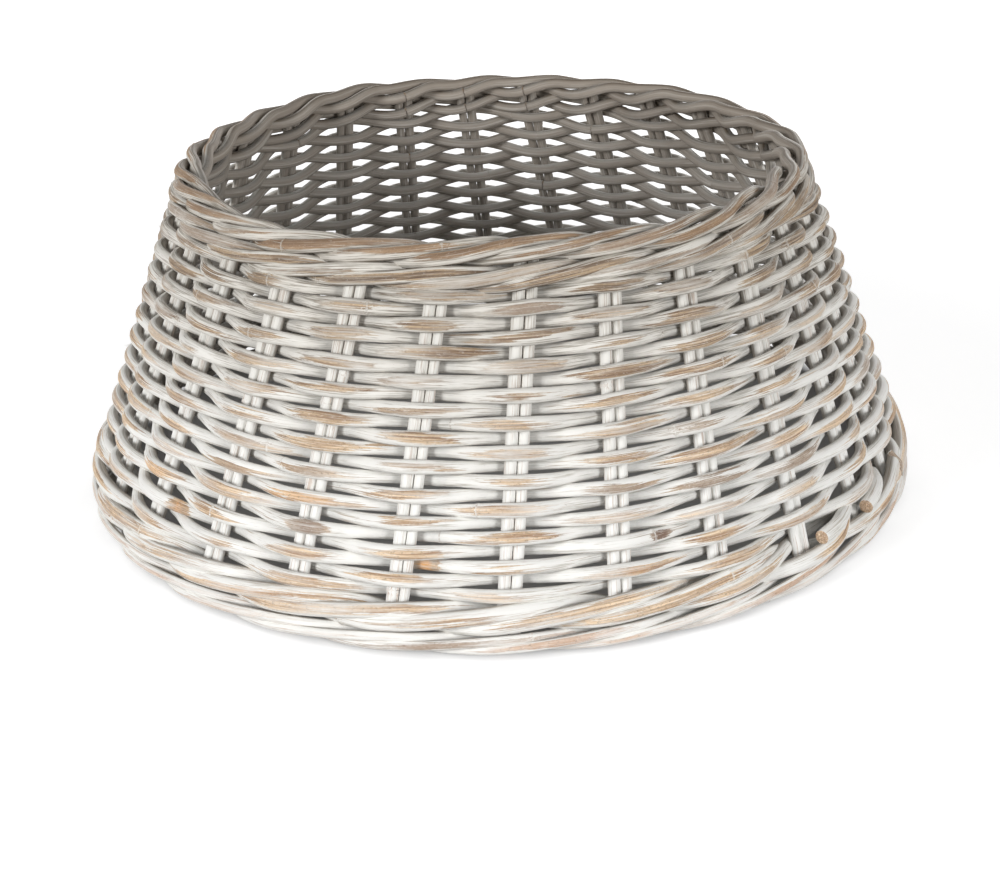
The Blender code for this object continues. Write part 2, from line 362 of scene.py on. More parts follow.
class CaneMesh:
    """Gathers closed tubes with their surface facts and makes one object of them."""

    def __init__(self):
        self.points, self.faces, self.flat = [], [], []
        self.facts = {"grain": [], "wear": [], "tone": [], "shade": []}
        self.count = 0

    def add(self, path, radius, deep, facts, rng, floor=None, out_way=None, ends=(0.0, 0.0),
            angles=ANGLES, ragged=0.0):
        """A tube along path. radius and deep (depth over height of the outline) are per point,
        facts holds the wear and painted shade masks, the tone, and the shade (tint and film) as
        (points, sides, 3). ends says how fresh each cut is, and ragged how uneven."""
        n, sides = len(path), len(angles)
        tangent = unit(np.gradient(path, axis=0))
        out = wall_normal(path) if out_way is None else out_way
        out = unit(out - tangent * (out * tangent).sum(1)[:, None])
        up = np.cross(out, tangent)
        cosine, sine = np.cos(angles), np.sin(angles)
        oval = 1 + OVALNESS * np.cos(2 * angles + rng.uniform(0, math.tau))
        reach = radius[:, None] * oval[None, :]
        body = (path[:, None]
                + out[:, None] * (cosine * reach * deep[:, None])[:, :, None]
                + up[:, None] * (sine * reach)[:, :, None])
        grain = np.empty((n, sides, 3))
        offset = rng.uniform(-GRAIN_SHIFT, GRAIN_SHIFT, 3)
        grain[:, :, 0] = lengths(path)[:, None] + offset[0]
        grain[:, :, 1] = cosine * reach + offset[1]
        grain[:, :, 2] = sine * reach + offset[2]
        layers = {"grain": grain, **facts}
        # each end gets bevel rings, so that the cut is crisp
        uneven = RAGGEDNESS * ragged * np.abs(rng.uniform(-1, 1, sides))
        cuts = []
        for at, step in ((0, 1), (n - 1, -1)):
            away = tangent[at] * -step
            cut = [path[at] + (body[at] - path[at]) * share + away * (past + uneven)[:, None]
                   for share, past in CUT_RINGS]
            cuts.append(np.array(cut[::-step]))
        body = np.concatenate([cuts[0], body, cuts[1]])
        for key, values in layers.items():
            first = np.repeat(values[:1], len(CUT_RINGS), 0)
            last = np.repeat(values[-1:], len(CUT_RINGS), 0)
            if key == "wear":
                first[:, :, 0], last[:, :, 0] = ends
            if key == "grain":
                # the grain shrinks with the outline
                for cap, shares in ((first, CUT_SHARES[::-1]), (last, CUT_SHARES)):
                    cap[:, :, 1:] = offset[1:] + (cap[:, :, 1:] - offset[1:]) * shares
            layers[key] = np.concatenate([first, values, last])
        if floor is not None:
            body[:, :, 2] = np.maximum(body[:, :, 2], floor)
        n = len(body)
        ring = np.arange(n - 1)[:, None] * sides
        side = np.arange(sides)[None, :]
        after = (side + 1) % sides
        quads = np.stack([ring + side, ring + sides + side, ring + sides + after, ring + after],
                         2).reshape(-1, 4) + self.count
        self.points.append(body.reshape(-1, 3))
        for key, values in layers.items():
            self.facts[key].append(values.reshape(-1, 3))
        self.faces.extend(quads.tolist())
        first_cap = self.count + np.arange(sides)
        last_cap = first_cap + (n - 1) * sides
        self.faces.append(first_cap.tolist())
        self.faces.append(last_cap[::-1].tolist())
        self.flat.extend([False] * len(quads) + [True, True])
        self.count += n * sides

    def make(self, name, material):
        points = np.concatenate(self.points)
        data = bpy.data.meshes.new(name)
        sizes = np.array([len(f) for f in self.faces])
        corners = np.concatenate([np.asarray(f, np.int32) for f in self.faces])
        data.vertices.add(len(points))
        data.vertices.foreach_set("co", points.ravel())
        data.loops.add(len(corners))
        data.loops.foreach_set("vertex_index", corners)
        data.polygons.add(len(sizes))
        data.polygons.foreach_set("loop_start", np.concatenate([[0], np.cumsum(sizes)[:-1]]))
        data.polygons.foreach_set("loop_total", sizes)
        data.polygons.foreach_set("use_smooth", ~np.array(self.flat))
        for key, values in self.facts.items():
            layer = data.attributes.new(key, "FLOAT_VECTOR", "POINT")
            layer.data.foreach_set("vector", np.concatenate(values).astype(np.float32).ravel())
        data.update(calc_edges=True)
        data.validate()
        data.materials.append(material)
        return link_object(name, data)


def gather(n, worn, hidden=0.0, inside=INSIDE_SHARES, warm=PLAIN_HUE, height=0.0, mark=0.0,
           tint=0.5, film=0.5):
    """Stacks the paint's facts of n points, each a number, one per point, or (points, sides)."""
    def on_all_sides(value):
        value = np.asarray(value, float)
        return np.broadcast_to(value if value.ndim == 2 else value.reshape(-1, 1), (n, SIDES))

    groups = {"wear": (worn, hidden, inside), "tone": (warm, height, mark),
              "shade": (tint, film, 0.0)}
    return {key: np.stack([on_all_sides(value) for value in values], 2)
            for key, values in groups.items()}


def worn_patch(u, patch):
    """How worn the paint is round one proud bend: over 0 within its lens, under 0 outside."""
    along = ((u - patch.centre) / patch.half_length)[:, None]
    turn = (ANGLES[None, :] - patch.tilt - patch.skew * along + math.pi) % math.tau - math.pi
    return (patch.strength - np.abs(along) ** PATCH_LONG_POWER
            - np.abs(turn / patch.half_width) ** PATCH_WIDE_POWER)


def worn_facts(rng, u, front, patches, height, mark):
    """The paint's facts of one woven cane. front is 1 in front of a stake, -1 behind it."""
    n = len(u)
    worn = np.full((n, SIDES), UNWORN)
    warm = np.full(n, PLAIN_HUE)
    for patch in patches:
        near = np.abs(u - patch.centre) < PATCH_REACH
        worn[near] = np.maximum(worn[near], worn_patch(u[near], patch))
        reach = max(HUE_REACH * patch.half_length, LEAST_HUE_REACH)
        weight = np.exp(-((u - patch.centre) / reach) ** 2)
        warm = warm * (1 - weight) + patch.hue * weight
    hidden = ease((HIDDEN_START - front) / HIDDEN_LENGTH)
    tint = 0.5 + rng.normal(0, TINT_SPREAD) + wander(rng, u, *TINT_WAVE)
    film = np.clip(0.5 + wander(rng, u, *FILM_WAVE), 0, 1)
    return gather(n, worn, hidden, warm=warm, height=height, mark=mark, tint=tint, film=film)


def patches_for(rng, centre, half_length, tilt, half_width, height):
    """The random worn places of one proud bend: mostly one tan lens, some faint, some double."""
    kind = rng.random()
    strength = rng.uniform(*FULL_STRENGTH)
    hue = float(np.clip(rng.normal(PLAIN_HUE, HUE_SPREAD), *HUE_RANGE))
    if kind < FAINT_BELOW:
        strength = rng.uniform(*FAINT_STRENGTH)
    elif kind < GREY_BELOW:
        hue = rng.uniform(*GREY_HUE)
    elif kind > FRESH_ABOVE:
        hue = rng.uniform(*FRESH_HUE)
    hue -= HUE_LOSS_UP * height
    places = [Patch(
        centre=centre + rng.normal(0, CENTRE_SPREAD),
        half_length=half_length * rng.uniform(*LENGTH_FACTOR),
        tilt=tilt + rng.normal(0, TILT_SPREAD),
        skew=rng.normal(SKEW_MEAN, SKEW_SPREAD),
        half_width=half_width * rng.uniform(*WIDTH_FACTOR),
        strength=strength,
        hue=hue,
    )]
    if rng.random() < DOUBLE_BELOW:
        side = rng.choice((-1.0, 1.0))
        places.append(Patch(
            centre=centre + rng.normal(0, SECOND_CENTRE_SPREAD),
            half_length=half_length * rng.uniform(*SECOND_LENGTH_FACTOR),
            tilt=tilt + side * rng.uniform(*SECOND_TILT),
            skew=rng.normal(0, SECOND_SKEW_SPREAD),
            half_width=half_width * rng.uniform(*SECOND_WIDTH_FACTOR),
            strength=rng.uniform(*SECOND_STRENGTH),
            hue=hue,
        ))
    return places


def with_marks(patches, marks, clearance):
    """The random patches, with those near a fixed mark replaced by it."""
    kept = [patch for patch in patches
            if all(abs(patch.centre - mark.centre) > clearance for mark in marks)]
    return kept + list(marks)


def add_fibres(cane, rng, u, path, radius, rings, facts, chance, front):
    """Loose fibres and splinters that lift off a cane at its joint rings."""
    angles = np.arange(FIBRE_SIDES) * math.tau / FIBRE_SIDES
    t = np.linspace(0, 1, FIBRE_POINTS)
    normal = wall_normal(path)
    for ring in rings:
        at = int(np.abs(u - ring).argmin())
        inner = FIBRE_MARGIN <= at < len(u) - FIBRE_MARGIN
        if rng.random() > chance or not inner or front[at] < FIBRE_LEAST_FRONT:
            continue
        along = unit(path[at + 2] - path[at - 2])
        for _ in range(rng.integers(*FIBRES_PER_RING)):
            turn = rng.normal(0.0, FIBRE_TURN)
            side = np.cross(normal[at], along)
            foot = normal[at] * math.cos(turn) + side * math.sin(turn)
            way = along * rng.choice((-1.0, 1.0)) + foot * rng.uniform(*FIBRE_LIFT)
            way = unit(way + side * rng.normal(0, FIBRE_SKEW))
            size = rng.uniform(*FIBRE_LENGTH)
            curl = foot * rng.uniform(*FIBRE_CURL)
            line = (path[at] + foot * radius[at] * FIBRE_ROOT
                    + way * (t * size)[:, None] + curl * (t * t * size)[:, None])
            thin = rng.uniform(*FIBRE_RADIUS) * (1 - FIBRE_TAPER * t)
            own = {key: np.tile(values[at, :1], (FIBRE_POINTS, FIBRE_SIDES, 1))
                   for key, values in facts.items()}
            own["wear"][:, :, 0] = rng.uniform(*FIBRE_WORN)
            own["wear"][:, :, 1:] = 0.0
            cane.add(line, thin, np.ones(FIBRE_POINTS), own, rng,
                     out_way=np.tile(foot, (FIBRE_POINTS, 1)), angles=angles)


def add_loose_end(cane, end):
    """A cut cane end that pokes out between the strands."""
    rng = np.random.default_rng(LOOSE_END_SEED + end.strand)
    stops = np.array(end.stops)
    t = np.linspace(0, len(stops) - 1, LOOSE_END_POINTS)
    smooth = [np.interp(t, np.arange(len(stops)), values) for values in stops.T]
    for _ in range(LOOSE_END_SMOOTHINGS):
        smooth = [np.concatenate([a[:1], (a[:-2] + 2 * a[1:-1] + a[2:]) / 4, a[-1:]])
                  for a in smooth]
    path = wall_point(*smooth)
    radius = end.radius * (1 - (1 - end.tip) * ease(1 - t / LOOSE_END_TAPER))
    facts = gather(len(t), end.worn, inside=0.0, warm=end.hue, tint=LOOSE_END_TINT,
                   film=LOOSE_END_FILM)
    cane.add(path, radius, np.ones(len(t)), facts, rng, ends=LOOSE_END_CUT_WORN,
             ragged=LOOSE_END_RAGGED)


def weaver(row):
    """Over one stake pair and under the next, one turn round the collar."""
    rng = np.random.default_rng(ROW_SEED + row)
    base = FIRST_ROW + row * ROW_PITCH
    start = 2 * (row * ROW_JOINT_STRIDE // 2) + (row + 1) % 2
    spacing = spacing_at(base)
    gap = END_STEP / spacing
    u, away, rings = lay_out(rng, start + gap, start + STAKES - gap, spacing)
    wave = -np.cos(math.pi * (u - start))
    out = (stand_off(WEAVER_CANE) * STAND_OFF_SHARE * wave
           * (1 + wander(rng, u, *ROW_DEPTH)))
    level = base + sway(u, base) + wander(rng, u, *ROW_RISE)
    path = wall_point(u, level, out)
    front = np.clip(wave, 0, 1) ** BEND_POWER
    back = np.clip(-wave, 0, 1)
    grown = 1 + rng.normal(0, ROW_GIRTH_SPREAD) + wander(rng, u, *ROW_GIRTH)
    radius = (WEAVER_CANE / 2 * (1 + ROW_BEND_SWELL * front - ROW_HIDDEN_THINNING * back)
              * grown * with_bumps(1, away, RING_SWELLS))
    height = row / (ROWS - 1)
    patches = []
    for over in range(1, STAKES, 2):
        patches += patches_for(rng, start + over, ROW_PATCH_HALF_LENGTH, ROW_PATCH_TILT,
                               ROW_PATCH_HALF_WIDTH, height)
    # the marks are given round the front, and the cane runs on from stake number start
    marks = []
    for mark in ROW_MARKS.get(row, ()):
        turns = math.ceil((start - mark.centre) / STAKES)
        marks.append(mark._replace(centre=mark.centre + STAKES * turns))
    patches = with_marks(patches, marks, ROW_MARK_CLEARANCE)
    facts = worn_facts(rng, u, wave, patches, height, with_bumps(0, away, RING_MARKS))
    cane = CaneMesh()
    cane.add(path, radius, 1 - BEND_FLATNESS * front, facts, rng, ends=CUT_WORN)
    add_fibres(cane, rng, u, path, radius, rings, facts, ROW_FIBRE_CHANCE, wave)
    return cane


def wale_route(u, start, band):
    """Out and level of a strand that runs in front of two stake pairs and behind one."""
    phase = (u - start) % STRANDS
    x = phase % 1
    leg = np.floor(phase)
    swing = np.cos(math.pi * x)
    bulge = np.sin(math.pi * x)
    out = np.where(leg == 0, -swing, np.where(leg == 1, 1 + SPAN_BULGE * bulge, swing))
    rise = ease((phase - 0.5) / 2)
    drop = ease((phase + 0.5) % STRANDS)
    share = np.where((phase > STRANDS - 0.5) | (phase < 0.5), 1 - drop, rise)
    level = ((band.low + band.high) / 2
             + (band.high - band.low) * RISE_STEEPNESS * (share - 0.5))
    if band.name == "rim_rope":
        inward = ease((phase - ROLL_START) / ROLL_LENGTH)
        rolled = (1 + ROLL_BULGE * bulge) * (1 - ROLL_DEPTH * inward)
        tail = ease((phase - ROLL_END) / (STRANDS - ROLL_END))
        out = np.where(leg >= 1, rolled, out)
        out = np.where(phase > ROLL_END, (1 - ROLL_DEPTH) - (2 - ROLL_DEPTH) * tail, out)
    return out * stand_off(band.cane) * STAND_OFF_SHARE, level


def pushed(band, strand, u):
    """Rise and outward push of a strand along its stake numbers."""
    shift = np.zeros((2, len(u)))
    for name, strands, centre, reach, rise, outward in PUSHES:
        if name == band.name and strand in strands:
            away = (u - centre + STAKES / 2) % STAKES - STAKES / 2
            shift += np.outer((rise, outward), np.exp(-(away / reach) ** 2))
    return shift


def wale(band, strand):
    """One strand of a band, in front of two stake pairs and behind one."""
    rng = np.random.default_rng(WALE_SEED + band.number * 10 + strand)
    off = stand_off(band.cane) * STAND_OFF_SHARE
    rounds = math.ceil((STAKES - strand) / STRANDS)
    start = FIRST_WALE_STAKE + strand
    spacing = spacing_at(band.low)
    gap = END_STEP / spacing
    u, away, rings = lay_out(rng, start + gap, start + rounds * STRANDS - gap, spacing)
    out, level = wale_route(u, start, band)
    rise, outward = pushed(band, strand, u)
    level = level + sway(u, level) - band.settle + rise
    out = np.maximum(out + outward, -off * DEEPEST_SHARE)
    if band.floor is None:
        level = level + wander(rng, u, *WALE_RISE)
        out = out * (1 + wander(rng, u, *WALE_DEPTH))
    path = wall_point(u, level, out)
    front = np.clip(out / off, 0, 1) ** BEND_POWER
    grown = 1 + rng.normal(0, WALE_GIRTH_SPREAD) + wander(rng, u, *WALE_GIRTH)
    radius = (band.look / 2 * (1 + band.swell * front) * grown
              * with_bumps(1, away, RING_SWELLS))
    patches = []
    for turn in range(rounds):
        patches += patches_for(rng, start + turn * STRANDS + STRANDS / 2, band.half_length,
                               band.tilt, WALE_PATCH_HALF_WIDTH, band.height)
    marks = WALE_MARKS.get((band.name, strand), ())
    patches = with_marks(patches, marks, WALE_MARK_CLEARANCE)
    facts = worn_facts(rng, u, out / off, patches, band.height,
                       with_bumps(0, away, RING_MARKS))
    cane = CaneMesh()
    cane.add(path, radius, 1 - BEND_FLATNESS * front, facts, rng, band.floor, ends=CUT_WORN)
    add_fibres(cane, rng, u, path, radius, rings, facts, WALE_FIBRE_CHANCE, out / off)
    for end in LOOSE_ENDS:
        if (band.name, strand) == ("bottom_wale", end.strand):
            add_loose_end(cane, end)
    return cane


def stake_pair(number):
    """Two straight canes side by side, from the foot to the rim."""
    rng = np.random.default_rng(STAKE_SEED + number)
    cane = CaneMesh()
    girths = [rng.uniform(*girth) for girth in PAIR_GIRTHS]
    for side, girth in zip((-1, 1), girths):
        level, away, _rings = lay_out(rng, STAKE_FOOT, STAKE_TOP, 1.0, STAKE_RING_SPACING,
                                      STAKE_STEPS / WALL_HEIGHT)
        share = level / WALL_HEIGHT
        shape = share * SHAPE_WAVES_PER_STAKE
        middle = wall_point(float(number), level, 0.0)
        flat = unit(middle[:, :2])
        across = np.column_stack([-flat[:, 1], flat[:, 0], np.zeros(len(level))])
        radius = (STAKE_CANE / 2 * girth * (1 + wander(rng, shape, *STAKE_GIRTH))
                  * with_bumps(1, away, RING_SWELLS))
        shift = side * (radius + PAIR_HALF_GAP) + wander(rng, shape, *STAKE_ACROSS)
        path = middle + across * shift[:, None]
        path = path + wall_normal(middle) * wander(rng, shape, *STAKE_OUTWARD)[:, None]
        worn = STAKE_WORN + wander(rng, share * WEAR_WAVES_PER_STAKE, *STAKE_WEAR)
        warm, tint = rng.uniform(*STAKE_HUE), rng.uniform(*STAKE_TINT)
        facts = gather(len(level), worn, warm=warm, height=share,
                       mark=with_bumps(0, away, RING_MARKS), tint=tint)
        cane.add(path, radius, np.ones(len(level)), facts, rng, ends=STAKE_CUT_WORN)
    return cane


# ---------------------------------------------------------------- paint

class Nodes:
    """Short names for the shader nodes of one node tree."""

    def __init__(self, tree):
        self.tree = tree

    def new(self, kind, **settings):
        node = self.tree.nodes.new("ShaderNode" + kind)
        for key, value in settings.items():
            setattr(node, key, value)
        return node

    def put(self, socket, value):
        if isinstance(value, bpy.types.NodeSocket):
            self.tree.links.new(value, socket)
        elif isinstance(value, tuple) and len(value) == 3 and socket.type == "RGBA":
            socket.default_value = (*value, 1.0)
        else:
            socket.default_value = value

    def math(self, kind, a, b=0.0, c=0.0):
        node = self.new("Math", operation=kind)
        for socket, value in zip(node.inputs, (a, b, c)):
            self.put(socket, value)
        return node.outputs[0]

    def product(self, a, b):
        return self.math("MULTIPLY", a, b)

    def total(self, *parts):
        """Sum of value and weight pairs and plain numbers."""
        result = 0.0
        for part in parts:
            if isinstance(part, tuple):
                result = self.math("MULTIPLY_ADD", part[0], part[1], result)
            else:
                result = self.math("ADD", result, part)
        return result

    def span(self, value, low, high, to_low=0.0, to_high=1.0, smooth=False):
        """value from low to high, as to_low to to_high and no further."""
        node = self.new("MapRange", clamp=True,
                        interpolation_type="SMOOTHSTEP" if smooth else "LINEAR")
        for key, number in (("Value", value), ("From Min", low), ("From Max", high),
                            ("To Min", to_low), ("To Max", to_high)):
            self.put(node.inputs[key], number)
        return node.outputs[0]

    def mix(self, share, a, b):
        node = self.new("Mix", data_type="RGBA", blend_type="MIX")
        self.put(node.inputs["Factor"], share)
        self.put(node.inputs[6], a)
        self.put(node.inputs[7], b)
        return node.outputs[2]

    def coats(self, colour, *coats):
        """colour under coats, each a share and a colour."""
        for share, coat in coats:
            colour = self.mix(share, colour, coat)
        return colour

    def seen_white(self):
        """1 for the rays that see the studio as plain white: camera, glossy, transmission."""
        path = self.new("LightPath")
        rays = path.outputs["Is Camera Ray"]
        for kind in ("Is Glossy Ray", "Is Transmission Ray"):
            rays = self.math("MAXIMUM", rays, path.outputs[kind])
        return rays


# Layers of the grain: waves per metre along and across the cane, detail, roughness, distortion
STREAK_GRAIN = ((18.0, 760.0, 760.0), 4.0, 0.60, 0.0)
FINE_GRAIN = ((44.0, 1700.0, 1700.0), 3.0, 0.60, 0.0)
VEIN_GRAIN = ((15.0, 620.0, 620.0), 4.0, 0.64, 0.0)
FLECK_GRAIN = ((520.0, 900.0, 900.0), 3.0, 0.65, 0.4)
PATCHY_GRAIN = ((34.0, 130.0, 130.0), 3.0, 0.55, 0.0)

# The surface
SPECULAR_LEVEL = 0.30
ROUGHNESS_RANGE = (0.52, 0.84)
RELIEF_DEPTH = 0.0006
RELIEF, SOFT_RELIEF = 0.8, 0.4


class CanePaint(Nodes):
    """The shader of one painted cane, with the facts of its mesh and its layers of grain."""

    def __init__(self, name):
        self.material = bpy.data.materials.new(name)
        self.material.use_nodes = True
        super().__init__(self.material.node_tree)
        self.shader = self.tree.nodes["Principled BSDF"]
        self.worn, self.hidden, self.inside = self.three_facts("wear")
        self.warm, self.height, self.mark = self.three_facts("tone")
        self.tint, self.film, _unused = self.three_facts("shade")
        self.place = self.fact("grain")
        self.streak = self.noise(*STREAK_GRAIN)
        self.fine = self.noise(*FINE_GRAIN)
        self.vein = self.noise(*VEIN_GRAIN)
        self.fleck = self.noise(*FLECK_GRAIN)
        self.patchy = self.noise(*PATCHY_GRAIN)
        self.ring = self.span(self.mark, 0.60, 0.95)
        self.near_ring = self.span(self.mark, 0.10, 0.50)
        # How far the painted shade of the collar's top has come in, and the high rows, where the
        # grey streaks and the creases take more painted shade
        self.upper = self.span(self.height, 0.30, 1.0)
        self.high = self.span(self.height, 0.5, 1.0)

    def fact(self, key):
        node = self.new("Attribute", attribute_type="GEOMETRY", attribute_name=key)
        return node.outputs["Vector"]

    def three_facts(self, key):
        split = self.new("SeparateXYZ")
        self.put(split.inputs[0], self.fact(key))
        return split.outputs

    def noise(self, stretch, detail, rough, distortion):
        scale = self.new("VectorMath", operation="MULTIPLY")
        self.put(scale.inputs[0], self.place)
        self.put(scale.inputs[1], stretch)
        node = self.new("TexNoise")
        for key, value in (("Vector", scale.outputs[0]), ("Scale", 1.0), ("Detail", detail),
                           ("Roughness", rough), ("Distortion", distortion)):
            self.put(node.inputs[key], value)
        return node.outputs["Fac"]

    def shaded_up_the_wall(self, colours):
        """From a colour low on the wall to a darker one high on it: painted shade over the
        collar's top.
        """
        return self.mix(self.upper, *colours)


def linear(red, green, blue):
    """A colour as it looks on a screen, 0 to 255, as the shader wants it."""
    shares = []
    for part in (red, green, blue):
        part /= 255
        shares.append(part / 12.92 if part <= 0.04045 else ((part + 0.055) / 1.055) ** 2.4)
    return tuple(shares)


# Grey-blue painted shade, blotchy with grime, on paint deep behind the stakes
SHADE_AND_GRIME = linear(176, 180, 180)
SPECK = linear(112, 92, 74)
SCAR = linear(112, 78, 56)
GREY_WOOD = linear(158, 140, 124)
FRESH = linear(238, 170, 88)
# The inward side: taupe for thinner paint and for painted shade of the collar's inside
INNER_SHADE_AND_THIN_PAINT = linear(148, 139, 129)
RIM_INNER_SHADE_AND_THIN_PAINT = linear(156, 146, 135)

# Pairs of colours low on the wall and high on it. The high ones are darker: painted shade over
# the collar's top.
# Brownish painted shade in the creases where canes touch
CREASE_SHADES = (linear(134, 120, 104), linear(100, 88, 74))
GREYS = (linear(198, 197, 190), linear(142, 136, 125))
WHITES = (linear(245, 244, 240), linear(220, 216, 208))
THINS = (linear(204, 190, 172), linear(154, 141, 126))
TANS = (linear(246, 219, 184), linear(186, 160, 128))
BROWNS = (linear(158, 121, 87), linear(82, 60, 41))
FOOT_THINS = (linear(226, 208, 196), linear(200, 184, 170))
FOOT_TANS = (linear(228, 198, 172), linear(190, 160, 134))
FOOT_BROWNS = (linear(196, 160, 134), linear(150, 120, 96))
RIM_WHITES = (linear(222, 218, 210), linear(214, 209, 200))
RIM_THINS = (linear(172, 158, 142), linear(146, 133, 118))
RIM_TANS = (linear(184, 152, 120), linear(168, 138, 106))
RIM_BROWNS = (linear(138, 106, 78), linear(118, 90, 64))
STAKE_WHITES = (linear(250, 250, 247), linear(222, 219, 211))
STAKE_THINS = (linear(231, 222, 211), linear(188, 179, 167))
STAKE_TANS = (linear(214, 180, 152), linear(172, 142, 118))
STAKE_BROWNS = (linear(176, 138, 112), linear(132, 102, 82))


def bare_places(p, wear_more):
    """Where the wood shows: a lens with frayed, streaky ends."""
    edge = p.total((p.worn, 0.80), (p.streak, 2.9), (p.fine, 2.0), (p.fleck, 0.25),
                   (p.patchy, 0.8), (p.height, 0.10), -2.89 + wear_more)
    edge = p.math("MULTIPLY_ADD", p.near_ring, p.total((p.fleck, 2.2), -1.0), edge)
    return p.span(edge, -0.07, 0.17, smooth=True)


def wood_colour(p, tans, brown):
    """Tan with browner grain lines and spots, greyer or fresher from bend to bend, and darker
    high on the wall as painted shade.
    """
    veins = p.total((p.vein, 0.7), (p.fine, 0.3))
    core = p.total((p.streak, 0.8), (p.patchy, 0.4), (p.worn, 0.10), -0.10)
    return p.coats(
        p.shaded_up_the_wall(tans),
        (p.span(veins, 0.44, 0.58, 0.0, 0.95), brown),
        (p.span(core, 0.48, 0.70, 0.0, 0.80), brown),
        (p.span(p.warm, 0.28, 0.04, 0.0, 0.80), GREY_WOOD),
        (p.span(p.warm, -0.1, -0.4, 0.0, 0.85), SCAR),
        (p.span(p.warm, 0.84, 0.97, 0.0, 0.85), FRESH),
        (p.span(p.fleck, 0.57, 0.67, 0.0, 0.55), SPECK),
    )


def paint_colour(p, white, thins, brown, inner, thin_more, crease_shade_more):
    """White, thinner in streaks, with painted shade: greyer on the high rows, grey-blue and
    blotchy with grime deep beside the stakes, darker in the creases where canes touch, and taupe
    on the inward side, where the paint is also thinner.
    """
    thin = p.mix(p.span(p.worn, -1.0, -0.1, 0.25, 1.0), p.shaded_up_the_wall(GREYS),
                 p.shaded_up_the_wall(thins))
    rubbed = p.span(p.worn, -0.9, 0.3, 0.0, 0.16)
    # More grey thin paint on the high rows, as painted shade of the collar's top
    thinness = p.total((p.streak, 2.1), (p.fine, 2.0), (p.patchy, 0.9), (p.tint, 0.16),
                       (rubbed, 1.0), (p.high, 0.20), -2.76 + thin_more)
    hairs = p.total((p.vein, 0.55), (p.fine, 0.45), (p.worn, 0.03))
    # Painted shade on the upper and lower sides, where each cane touches its neighbours, deeper
    # on the high rows
    crease_side = p.span(p.inside, 0.36 - 0.6 * crease_shade_more, 0.52 - 0.6 * crease_shade_more)
    crease_depth = p.total(
        p.span(p.streak, 0.35, 0.60, 0.20 + crease_shade_more, 0.56 + crease_shade_more), (p.high, 0.32))
    # Painted shade, blotchy with grime, deep behind the stakes
    shade_and_grime = p.product(p.span(p.total((p.fleck, 0.6), (p.patchy, 0.6)), 0.50, 0.74, 0.25, 1.0),
                      p.span(p.hidden, 0.30, 0.95))
    wash = p.span(p.total((p.streak, 0.7), (p.vein, 0.3)), 0.48, 0.62, 0.0, 0.45)
    return p.coats(
        white,
        (p.span(thinness, -0.06, 0.38, 0.0, 0.95), thin),
        (p.span(hairs, 0.535, 0.60, 0.0, 0.50), brown),
        # painted shade in the creases
        (p.product(crease_side, crease_depth), p.mix(p.height, *CREASE_SHADES)),
        # painted shade and grime behind the stakes
        (p.product(shade_and_grime, 0.34), SHADE_AND_GRIME),
        (p.span(p.fleck, 0.70, 0.78, 0.0, 0.50), SPECK),
        (p.product(p.ring, p.span(p.fleck, 0.40, 0.60, 0.0, 0.5)), brown),
        # the inward side: thinner paint and painted shade, streaked lighter
        (p.span(p.inside, 0.50, 0.90, 0.0, 0.92), p.mix(wash, inner, white)),
    )


def with_film(p, wood, white, film_more):
    """Worn wood with the thin film and the flecks of paint that still hang over it."""
    hang = p.total((p.streak, 1.0), (p.fine, 0.8), (p.patchy, 0.7), (p.film, 0.42),
                   -1.57 + film_more)
    return p.coats(
        wood,
        (p.span(hang, -0.10, 0.26, 0.06, 0.86), white),
        (p.span(p.fleck, 0.41, 0.33, 0.0, 0.25), white),
        (p.span(p.fine, 0.44, 0.36, 0.0, 0.35), white),
        (p.product(p.ring, p.span(p.fleck, 0.35, 0.60, 0.40, 1.0)), white),
    )


def painted_cane(name, whites=WHITES, thins=THINS, tans=TANS, browns=BROWNS, inner=INNER_SHADE_AND_THIN_PAINT,
                 wear_more=0.0, thin_more=0.0, film_more=0.0, crease_shade_more=0.0, relief=RELIEF):
    """Whitewash over rattan: streaky paint, rubbed through to the wood on the proud bends, with
    painted shade in the creases, behind the stakes, on the inward side and over the collar's top.
    """
    p = CanePaint(name)
    white, brown = p.shaded_up_the_wall(whites), p.shaded_up_the_wall(browns)
    bare = bare_places(p, wear_more)
    wood = with_film(p, wood_colour(p, tans, brown), white, film_more)
    paint = paint_colour(p, white, thins, brown, inner, thin_more, crease_shade_more)
    colour = p.mix(p.product(bare, p.span(p.inside, 0.85, 0.60)), paint, wood)
    rough = p.span(p.total((p.streak, 1.0), (bare, -0.12)), 0.2, 0.8, *ROUGHNESS_RANGE)
    p.put(p.shader.inputs["Base Color"], colour)
    p.put(p.shader.inputs["Roughness"], rough)
    p.put(p.shader.inputs["Specular IOR Level"], SPECULAR_LEVEL)
    dents = p.new("Bump")
    p.put(dents.inputs["Strength"], relief)
    p.put(dents.inputs["Distance"], RELIEF_DEPTH)
    p.put(dents.inputs["Height"], p.total((p.fine, 0.45), (p.streak, 0.75), (p.fleck, 0.45),
                                          (bare, -0.30), (p.ring, -0.4)))
    p.put(p.shader.inputs["Normal"], dents.outputs[0])
    return p.material


